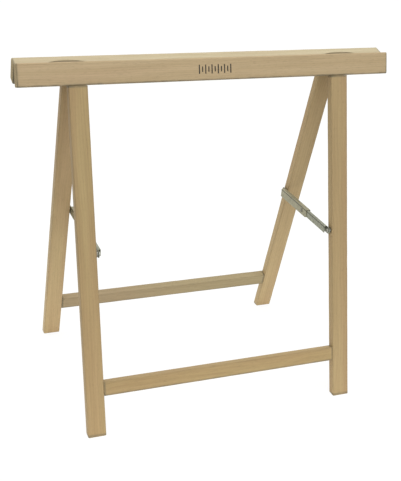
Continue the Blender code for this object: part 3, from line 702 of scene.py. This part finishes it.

# %% [markdown]
# ## Plane the eight boards
#
# Rails and cross rails run across, legs run down. A leg starts under the rail, where its
# shoulder is, and ends on the floor. A cross rail fits between its two legs. The sizes
# could be typed in, but read off the CAD nodes they are right to the last digit. The edges
# beside the valley, where the two rails close on each other, are nearly sharp, and the
# others are eased. The place in the log differs from board to board, as in any real
# trestle, and so does the tone, which also holds painted light.

# %% From the log to one board
EASED = ("Outer_Radius", "Inner_Radius", "Start_Radius", "End_Radius")
EASINGS = {"top_rail": (0.0025, 0.001, 0.0025, 0.0025), "leg": (0.002, 0.002, 0.0003, 0.001),
           "cross_rail": (0.002, 0.002, 0.001, 0.001)}
LOG_REACH = ((-3, 3), (-0.06, 0.06), (-0.02, 0.06))   # metres along and across the log
SEEDS = 1000                     # to draw the wear of a board from
LOG_SEED = 11
dice = random.Random(LOG_SEED)


def plane_board(name, kind, facing, sizes):
    """Plane one board, with its grain pattern turned to the board's length."""
    turns = (-facing * SPLAY, math.pi / 2 if kind == "leg" else 0.0, 0.0)
    shift = tuple(dice.uniform(*reach) for reach in LOG_REACH)
    extents = (sizes["Width"], sizes["Thickness"], sizes["Length"])
    wood = planed_beech(name, kind, turns, shift, extents)
    seed = dice.randrange(SEEDS)
    easing = dict(zip(EASED, EASINGS[kind]))
    return bake_tree(PLANE_A_BOARD, Seed=seed, Material=wood, **easing, **sizes)


print("plane_board is ready")

# %% Rails with sunk hinges
JOINT_GAP = 0.0003               # between two boards that meet
SEAT_PAST_INNER_END = 0.0015     # of a hinge's seat past its barrel, where the cutter stops
SEAT_PAST_OUTER_END = 0.0290     # and where it runs out
MOUTH_WIDTH = 0.0200             # of the seat's widest place, at the tops of the rails


def sink_hinges(mesh, x_limits, out_limits, down_limits):
    """Cut the seats of both hinges into a planed rail."""
    low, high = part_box("right_hinge_pin")
    inner, outer = low[0] - SEAT_PAST_INNER_END, high[0] + SEAT_PAST_OUTER_END
    leaf = frame_ranges("left_hinge_front_leaf", -1)
    return bake_tree(CUT_HINGE_SEATS, mesh, Radius=-leaf[2][0] + JOINT_GAP,
                     Length=outer - inner, Spacing=inner + outer, Middle=span(x_limits) / 2,
                     Axis_Height=middle(down_limits), Axis_Out=-middle(out_limits),
                     Depth=-down_limits[0], Mouth_Width=MOUTH_WIDTH, Material=mesh.materials[0])


def lengthwise_board(name, kind, facing, x_limits, out_limits, down_limits):
    """Plane a rail or a cross rail and lay it across its frame."""
    mesh = plane_board(name, kind, facing, {"Length": span(x_limits), "Width": span(down_limits),
                                            "Thickness": span(out_limits)})
    if kind == "top_rail":
        mesh = sink_hinges(mesh, x_limits, out_limits, down_limits)
    keep_board_places(mesh)
    origin = frame_point(facing, facing * x_limits[1], middle(out_limits), middle(down_limits))
    set_in_place(mesh, origin, -down_of(facing), -facing * ACROSS)
    return mesh


print(f"seats run {1000 * SEAT_PAST_OUTER_END:.0f} mm past the barrels")

# %% Boards
for frame_name, facing in FACINGS.items():
    body = f"{frame_name}_frame"
    name = f"{frame_name}_top_rail"
    rail = frame_ranges(name, facing)
    mesh = lengthwise_board(name, "top_rail", facing, *rail)
    add_piece(f"{name}_board", mesh, body, [name])
    shoulder = rail[2][1] + JOINT_GAP
    for hand in HANDS:
        name = f"{frame_name}_{hand}_leg"
        leg = frame_ranges(name, facing)
        foot = (HINGE_AXIS.z + middle(leg[1]) * SIN_SPLAY) / COS_SPLAY
        sizes = {"Length": foot - shoulder, "Width": span(leg[0]), "Thickness": span(leg[1]),
                 "Foot_Slope": math.tan(SPLAY)}
        mesh = plane_board(name, "leg", facing, sizes)
        keep_board_places(mesh)
        origin = frame_point(facing, middle(leg[0]), middle(leg[1]), shoulder)
        set_in_place(mesh, origin, -facing * ACROSS, down_of(facing))
        add_piece(f"{name}_board", mesh, body, [name])
    name = f"{frame_name}_cross_rail"
    inner_face = frame_ranges(f"{frame_name}_right_leg", facing)[0][0] - JOINT_GAP
    cross = frame_ranges(name, facing)
    mesh = lengthwise_board(name, "cross_rail", facing, (-inner_face, inner_face), *cross[1:])
    add_piece(f"{name}_board", mesh, body, [name])
print("8 boards planed")

# %% [markdown]
# ## Galvanised strip and zinc-plated fixings
#
# The stays and hinge leaves are cut from hot-dip galvanised strip: a dull grey-green
# metal with a faint pattern of zinc crystals a few millimetres wide. Plain noise would
# look like stains, but a Voronoi texture divides the metal into cells, and gives each a
# grey of its own. Screws, rivets, pins and spacers are electroplated: they are smoother
# and brighter, and have no crystals. On the pins, spacers and rivets, where parts turn on
# them, the plate is darker. A stay also gets a band of painted shade just below its
# folded edge. It could be painted on each link, but a band whose height is read off the
# CAD node lies in the right place on all of them. A leaf has no fold, so its band is left
# at the floor, where there is no leaf.

# %% Steel finishes
STRIP_TONES = {"leaf": ("82836F", "B6B59E"), "front_link": ("7F8270", "B2B3A0"),
               "rear_link": ("87856E", "BDB89C")}
CRYSTAL_SIZE = 0.004             # metres across a zinc crystal
CRYSTAL_SHARE = 0.4              # of the tone that the crystals give, and weathering the rest
WEATHER_PER_METRE = 60.0         # patches of weathering, so one is about 17 mm wide
FILM_PER_METRE = 400.0           # patches in a plated film, 2.5 mm wide
STEEL_DETAIL = 3.0
STRIP_ROUGHNESS = (0.42, 0.56)
STRIP_METALLIC = 0.55            # zinc that has weathered to a dull skin
PLATE_ROUGHNESS = (0.28, 0.42)
# A band of painted shade just below a stay's folded edge
FOLD_SHADE_TONE = "4B4B42"
FOLD_SHADE_SHARE = 0.85
FOLD_SHADE_DROP = 0.0010              # from a link's top to where the band of painted shade starts
FOLD_SHADE_BAND = 0.0024              # the height of that band
FOLD_SHADE_EDGES = (0.7, 0.2)         # of the band, from its middle: where the painted shade starts, where it is full


def galvanised_strip(name, tones, band_top):
    """Dull zinc with its crystals, and a band of painted shade below this height."""
    metal, add, shader, place = new_finish(name)
    crystals = add("ShaderNodeTexVoronoi", place["Object"], 1 / CRYSTAL_SIZE)
    grey = add("ShaderNodeSeparateColor", crystals.outputs["Color"]).outputs
    weather = add(NOISE, place["Object"], WEATHER_PER_METRE, STEEL_DETAIL)
    weathered = add(MATH, TIMES, weather, 1 - CRYSTAL_SHARE)
    both = add(MATH, TIMES_PLUS, grey["Red"], CRYSTAL_SHARE, weathered)
    tone = add(MIX, COLOURS, both, *map(linear, tones))
    # Painted shade: a dark band just below the fold's height
    height = add(SPLIT_XYZ, place["Object"]).outputs["Z"]
    off_middle = add(MATH, SIZE_OF, add(MATH, MINUS, height, band_top - FOLD_SHADE_BAND / 2))
    edges = [FOLD_SHADE_BAND * edge for edge in FOLD_SHADE_EDGES]
    in_fold = add(MAP_RANGE, SMOOTH, off_middle, *edges, 0.0, FOLD_SHADE_SHARE)
    fold_shaded = add(MIX, COLOURS, in_fold, tone, linear(FOLD_SHADE_TONE))
    rough = add(MAP_RANGE, grey["Green"], 0.0, 1.0, *STRIP_ROUGHNESS)
    feed(shader, Base_Color=fold_shaded, Roughness=rough, Metallic=STRIP_METALLIC)
    return metal


def zinc_plate(name, *tones):
    """Zinc plate on small turned and rolled steel, between two tones."""
    metal, add, shader, place = new_finish(name)
    film = add(NOISE, place["Object"], FILM_PER_METRE, STEEL_DETAIL)
    tone = add(MIX, COLOURS, film, *map(linear, tones))
    rough = add(MAP_RANGE, film, 0.0, 1.0, *PLATE_ROUGHNESS)
    feed(shader, Base_Color=tone, Roughness=rough, Metallic=1.0)
    return metal


ZINC = zinc_plate("zinc_plated_steel", "8F8F88", "BDBCB2")
# A darker plate for the pins, spacers and rivets
DARKER_ZINC = zinc_plate("zinc_plated_steel_dulled", "5F5D55", "8E8B80")
GALVANISED = {}
for kind, tones in STRIP_TONES.items():
    for node in [name for name in cad if name.endswith(kind)]:
        band_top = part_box(node)[1][2] - FOLD_SHADE_DROP if kind.endswith("link") else 0.0
        GALVANISED[node] = galvanised_strip(f"galvanised_strip_{node}", tones, band_top)
print(f"two finishes of zinc plate and {len(GALVANISED)} of galvanised strip")

# %% [markdown]
# ## Pressed and turned steel
#
# Sheared strip has edges that catch the light, and the CAD solids' edges are sharp. The
# links and leaves could be folded up anew from flat strip, but that would only repeat the
# CAD's work. Their meshes are loose triangles and stay untouched, so a copy is merged, its
# flat faces are joined, and a bevel of a quarter of a millimetre goes round the edges.
# That keeps each link and leaf exactly where the CAD has it.

# %% Soften the stays, leaves, pins and spacers
STRIP_EDGE = 0.00025             # radius of a sheared and tumbled edge
MERGE_DISTANCE = 0.00002
FLAT_ANGLE = math.radians(0.5)


def soften(node, body, metal):
    """Replace a steel node by a merged copy of it with its edges eased."""
    shape = bmesh.new()
    shape.from_mesh(cad[node].data)
    bmesh.ops.remove_doubles(shape, verts=shape.verts, dist=MERGE_DISTANCE)
    bmesh.ops.dissolve_limit(shape, angle_limit=FLAT_ANGLE, verts=shape.verts, edges=shape.edges)
    mesh = bpy.data.meshes.new(node)
    shape.to_mesh(mesh)
    shape.free()
    mesh.materials.append(metal)
    return add_piece(f"{node}_pressed", mesh, body, [node], STRIP_EDGE)


bodies = frame["record"]["behaviour"]["bodies"]
body_of = {node: body for body, nodes in bodies.items() for node in nodes}
softened = []
for node in cad:
    if node.endswith(("_leaf", "_link")):
        softened.append(soften(node, body_of[node], GALVANISED[node]))
    elif node.endswith(("_pin", "_spacer")):
        softened.append(soften(node, body_of[node], DARKER_ZINC))
print(f"{len(softened)} steel pieces softened")

# %% [markdown]
# ## Screws and rivets
#
# These repeat, so Geometry Nodes make them. A Screw modifier could spin a drawn profile
# into the same head, but the profile's points would stay where they were drawn, and here
# they follow the tree's inputs. A head is turned as on a lathe: a cone, then ring after
# ring, each pulled out of the one before and set to its own height and radius.
# The cross recess is two thin tapered blades cut out of the crown. The screw is then set
# out on points that carry the direction of its axis, and turned about that axis by a
# random amount, as a hand-driven screw would be.

# %% Lathe and recess
SIDES_OF_A_HEAD = 24
PULL = 0.001                     # any step out of the last ring: its points are then set in place
BLADE = (4, 1, 1, 0.80, 0.42, 1.2)   # sides, steps up and inward, then top, foot and height in
                                     # shares of the recess


def turn_rings(add, rings):
    """Add the nodes that turn a solid on Z from its rings, each a height and a radius."""
    (base, base_radius), (height, radius) = rings[:2]
    tall = add(MATH, MINUS, height, base)
    cone = add("GeometryNodeMeshCone", SIDES_OF_A_HEAD, 1, 1, radius, base_radius, tall)
    shape = add("GeometryNodeTransform", cone, add(JOIN_XYZ, Z=base))
    top = cone.outputs["Top"]
    flat = add(VECTOR_MATH, TIMES, add("GeometryNodeInputPosition"), (1.0, 1.0, 0.0))
    spoke = add(VECTOR_MATH, {"operation": "NORMALIZE"}, flat)
    for height, radius in rings[2:]:
        pulled = add(*EXTRUDE, shape, top, Offset_Scale=PULL, Individual=False)
        top = pulled.outputs["Top"]
        rim = add(VECTOR_MATH, SCALED, spoke, radius)
        place = add(VECTOR_MATH, PLUS, rim, add(JOIN_XYZ, Z=height))
        shape = add(SET_POSITION, pulled, top, Position=place)
    return shape


def cut_recess(add, size, shape, top):
    """Cut a cross recess into the top of a head: two thin blades that taper downward."""
    cut = add(*CUT_AWAY, shape)
    blade = add("GeometryNodeMeshCone", *BLADE)
    square = add("GeometryNodeTransform", blade, Rotation=(0.0, 0.0, math.pi / 4))
    extents = add(JOIN_XYZ, *(size[f"Recess {side}"] for side in ("Length", "Width", "Depth")))
    low = add(JOIN_XYZ, Z=add(MATH, MINUS, top, size["Recess Depth"]))
    for quarter in (0.0, math.pi / 2):
        turned = (0.0, 0.0, quarter)
        feed(cut, Mesh_2=add("GeometryNodeTransform", square, low, turned, extents))
    return cut


print(f"heads have {SIDES_OF_A_HEAD} sides")

# %% Setting out


def set_out(add, size, shape):
    """Put one copy on each point, its Z along the point's axis, turned by a random amount."""
    axis = add("GeometryNodeInputNamedAttribute", {"data_type": "FLOAT_VECTOR"}, "axis")
    upright = add("FunctionNodeAlignRotationToVector", {"axis": "Z"}, Vector=axis)
    angle = add("FunctionNodeRandomValue", NUMBERS, 0.0, math.pi, Seed=size["Seed"])
    spin = add("FunctionNodeAxisAngleToRotation", (0.0, 0.0, 1.0), angle)
    turned = add("FunctionNodeRotateRotation", {"rotation_space": "LOCAL"}, upright, spin)
    return add("GeometryNodeInstanceOnPoints", size["Geometry"], Instance=shape, Rotation=turned)


def points_with_axes(places):
    """A mesh of loose points, each with the axis of the fixing that goes there."""
    mesh = bpy.data.meshes.new("places")
    mesh.from_pydata([place for place, axis in places], [], [])
    axes = mesh.attributes.new("axis", "FLOAT_VECTOR", "POINT")
    for number, (place, axis) in enumerate(places):
        axes.data[number].vector = axis
    return mesh


print("turn_rings, cut_recess and set_out are ready")

# %% Trees for the three fixings
PAN_SIZES = {"Head Radius": 0.0046, "Head Height": 0.0027, "Shank Radius": 0.00225,
             "Shank Length": 0.03, "Recess Length": 0.0052, "Recess Width": 0.0011,
             "Recess Depth": 0.0015, "Seed": 0}
SUNK_SIZES = {"Head Radius": 0.0032, "Head Depth": 0.0017, "Shank Radius": 0.0015,
              "Shank Length": 0.0143, "Recess Length": 0.0034, "Recess Width": 0.0008,
              "Recess Depth": 0.0011, "Seed": 0}
RIVET_SIZES = {"Head Radius": 0.0045, "Head Height": 0.0017, "Shank Radius": 0.0025,
               "Grip": 0.011, "Seed": 0}
POINT_LENGTH = 2.0               # of a screw's point, in radii of its shank
TIP_SHARE = 0.2                  # of the shank's radius that is left at the tip
SHOULDER_SHARE = 0.45            # of a pan head's height that is straight, below its crown
LAND_SHARE = 0.12                # of a sunk head's depth that is straight, at its rim
DOME_STEPS = 4
DOME_START = 0.35                # of a step, from the rim to the first ring of a dome


def point_rings(add, tip, shank):
    """The rings of a screw's point, from its blunt tip to the full shank."""
    full = add(MATH, TIMES_PLUS, shank, POINT_LENGTH, tip)
    return [(tip, add(MATH, TIMES, shank, TIP_SHARE)), (full, shank)]


def dome_rings(add, radius, height, base=0.0, flip=1):
    """Rings of a dome on a base height, rising for flip 1 and hanging for flip -1."""
    rings = []
    for step in range(DOME_STEPS):
        angle = math.pi / 2 * (step + DOME_START) / DOME_STEPS
        rise = add(MATH, TIMES_PLUS, height, flip * math.sin(angle), base)
        rings.append((rise, add(MATH, TIMES, radius, math.cos(angle))))
    return rings[::flip]


def pan_head_tree():
    """Build the tree of a pan-head wood screw, its seat at height 0 and its shank below."""
    add, size = tree_with_inputs("pan_head_screws", PAN_SIZES)
    shank, head, height = size["Shank Radius"], size["Head Radius"], size["Head Height"]
    tip = add(MATH, TIMES, size["Shank Length"], -1.0)
    shoulder = add(MATH, TIMES, height, SHOULDER_SHARE)
    crown = add(MATH, MINUS, height, shoulder)
    rings = point_rings(add, tip, shank) + [(0.0, shank), (0.0, head)]
    screw = turn_rings(add, rings + dome_rings(add, head, crown, shoulder))
    return end_tree(add, size, set_out(add, size, cut_recess(add, size, screw, height)))


def sunk_head_tree():
    """Build the tree of a countersunk wood screw, its flat head at height 0."""
    add, size = tree_with_inputs("countersunk_screws", SUNK_SIZES)
    shank, head = size["Shank Radius"], size["Head Radius"]
    neck = add(MATH, TIMES, size["Head Depth"], -1.0)
    tip = add(MATH, MINUS, neck, size["Shank Length"])
    land = add(MATH, TIMES, size["Head Depth"], -LAND_SHARE)
    rings = point_rings(add, tip, shank) + [(neck, shank), (land, head), (0.0, head)]
    screw = cut_recess(add, size, turn_rings(add, rings), 0.0)
    return end_tree(add, size, set_out(add, size, screw))


def rivet_tree():
    """Build the tree of a rivet with two domed heads, the middle of its grip at height 0."""
    add, size = tree_with_inputs("domed_rivets", RIVET_SIZES)
    shank, head, height = size["Shank Radius"], size["Head Radius"], size["Head Height"]
    low, high = (add(MATH, TIMES, size["Grip"], share) for share in (-0.5, 0.5))
    rings = dome_rings(add, head, height, low, -1) + [(low, head), (low, shank)]
    rings += [(high, shank), (high, head)] + dome_rings(add, head, height, high)
    return end_tree(add, size, set_out(add, size, turn_rings(add, rings)))


PAN_HEAD_SCREWS = pan_head_tree()
COUNTERSUNK_SCREWS = sunk_head_tree()
DOMED_RIVETS = rivet_tree()
print("pan-head screws, countersunk screws and rivets")

# %% [markdown]
# ## Drive the fixings
#
# Fourteen fixings could be placed by hand, but the CAD nodes say where each one is and
# how large its head is. Hinge screws go square into the rails, four in each frame. A
# stay's front pivot screw stays in the front leg, while its rear one goes with the rear
# link, and its rivet with the front link.

# %% Fixings
FIXING_SEED = 5


def corners_of(node):
    """The lowest and highest corners of a CAD node, as vectors."""
    return [Vector(corner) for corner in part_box(node)]


def drive(tree, places, metal=ZINC, seed=FIXING_SEED, **sizes):
    """Bake the fixings of one tree on places, each a point and an axis."""
    return bake_tree(tree, points_with_axes(places), Seed=seed, Material=metal, **sizes)


def hinge_screws(frame_name, facing):
    """The four countersunk screws of one frame's hinge leaves."""
    nodes = [f"{hand}_hinge_{frame_name}_screw_{number}" for hand in HANDS for number in (1, 2)]
    ranges = [frame_ranges(node, facing) for node in nodes]
    places = [(frame_point(facing, middle(x), out[0], middle(down)), -out_of(facing))
              for x, out, down in ranges]
    length = span(ranges[0][1]) - SUNK_SIZES["Head Depth"]
    mesh = drive(COUNTERSUNK_SCREWS, places, Head_Radius=span(ranges[0][0]) / 2, Shank_Length=length)
    body = f"{frame_name}_frame"
    return add_piece(f"{frame_name}_hinge_screws", mesh, body, nodes)


def pivot_screws(name, body, nodes):
    """Pan-head screws that stand on stay pivots, their heads toward the middle of the trestle."""
    places = []
    for node in nodes:
        low, high = corners_of(node)
        toward_middle = -math.copysign(1.0, low.x)
        seat = (high.x if toward_middle > 0 else low.x) - toward_middle * PAN_SIZES["Head Height"]
        centre = (low + high) / 2
        places.append(((seat, centre.y, centre.z), (toward_middle, 0.0, 0.0)))
    length = high.x - low.x - PAN_SIZES["Head Height"]
    mesh = drive(PAN_HEAD_SCREWS, places, seed=FIXING_SEED + len(name),
                 Head_Radius=(high.y - low.y) / 2, Shank_Length=length)
    return add_piece(name, mesh, body, nodes)


def knuckle_rivet(hand):
    """The rivet of one stay's knuckle."""
    node = f"{hand}_stay_knuckle_rivet"
    low, high = corners_of(node)
    grip = high.x - low.x - 2 * RIVET_SIZES["Head Height"]
    mesh = drive(DOMED_RIVETS, [((low + high) / 2, ACROSS)], metal=DARKER_ZINC,
                 Head_Radius=(high.y - low.y) / 2, Grip=grip)
    return add_piece(f"{hand}_stay_rivet", mesh, f"{hand}_stay_front", [node])


for frame_name, facing in FACINGS.items():
    hinge_screws(frame_name, facing)
pivot_screws("front_pivot_screws", "front_frame", [f"{hand}_stay_front_screw" for hand in HANDS])
for hand in HANDS:
    pivot_screws(f"{hand}_rear_pivot_screw", f"{hand}_stay_rear", [f"{hand}_stay_rear_screw"])
    knuckle_rivet(hand)
left_showing = [name for name, node in cad.items() if not node.hide_render]
print("CAD nodes still showing:", left_showing)

# %% [markdown]
# ## A centring scale
#
# A plain ruled scale is printed in the middle of the front rail's face, to help centre a
# board: a row of ticks, every other one long. The ink has soaked into the grain, so it is
# a little uneven. The rail's own material could draw the ticks, but they would blur when
# that material is baked to a picture. So each tick is a thin flat bar that stands 0.05 mm
# proud of the wood.

# %% A tree that rules ticks
SCALE_SIZES = {"Spacing": 0.0068, "Tick Width": 0.0024, "Tick Height": 0.018, "Short Share": 0.6,
               "Ink Thickness": 0.0001, "Ticks": 11}
INK_TONES = ("1F1A15", "4A4032")  # where it lies on the wood, and where the fibres drank it
INK_GRAIN = (0.02, 0.0011)       # metres along and across the fibres
INK_DETAIL = 2.0
INK_RAMP = (0.45, 0.75)
INK_ROUGHNESS = 0.7


def ruled_scale_tree():
    """Build the tree of a row of upright ticks along X, on a plane that faces Z."""
    add, size = tree_with_inputs("ruled_scale", SCALE_SIZES)
    run = add(MATH, TIMES, add(MATH, MINUS, size["Ticks"], 1.0), size["Spacing"])
    start = add(JOIN_XYZ, add(MATH, TIMES, run, -0.5))
    step = add(JOIN_XYZ, size["Spacing"])
    places = add("GeometryNodeMeshLine", size["Ticks"], start, step)
    extents = (size[side] for side in ("Tick Width", "Tick Height", "Ink Thickness"))
    bar = add("GeometryNodeMeshCube", add(JOIN_XYZ, *extents))
    is_odd = add(MATH, {"operation": "MODULO"}, add("GeometryNodeInputIndex"), 2.0)
    tall = add(MIX, NUMBERS, is_odd, 1.0, size["Short Share"])
    stretch = add(JOIN_XYZ, 1.0, tall, 1.0)
    ticks = add("GeometryNodeInstanceOnPoints", places, Instance=bar, Scale=stretch)
    return end_tree(add, size, ticks)


def stamping_ink():
    """Near-black ink, matt, and thinner where the fibres drank it."""
    ink, add, shader, place = new_finish("stamping_ink")
    fibre = add(NOISE, along_grain(add, place["Object"], *INK_GRAIN), 1.0, INK_DETAIL)
    drunk = add(MAP_RANGE, fibre, *INK_RAMP)
    tone = add(MIX, COLOURS, drunk, *map(linear, INK_TONES))
    feed(shader, Base_Color=tone, Roughness=INK_ROUGHNESS)
    return ink


rail = frame_ranges("front_top_rail", -1)
mesh = bake_tree(ruled_scale_tree(), Material=stamping_ink())
set_in_place(mesh, frame_point(-1, 0.0, rail[1][1], middle(rail[2])), ACROSS, out_of(-1))
add_piece("centring_scale", mesh, "front_frame")
print(f"{SCALE_SIZES['Ticks']} ticks ruled")
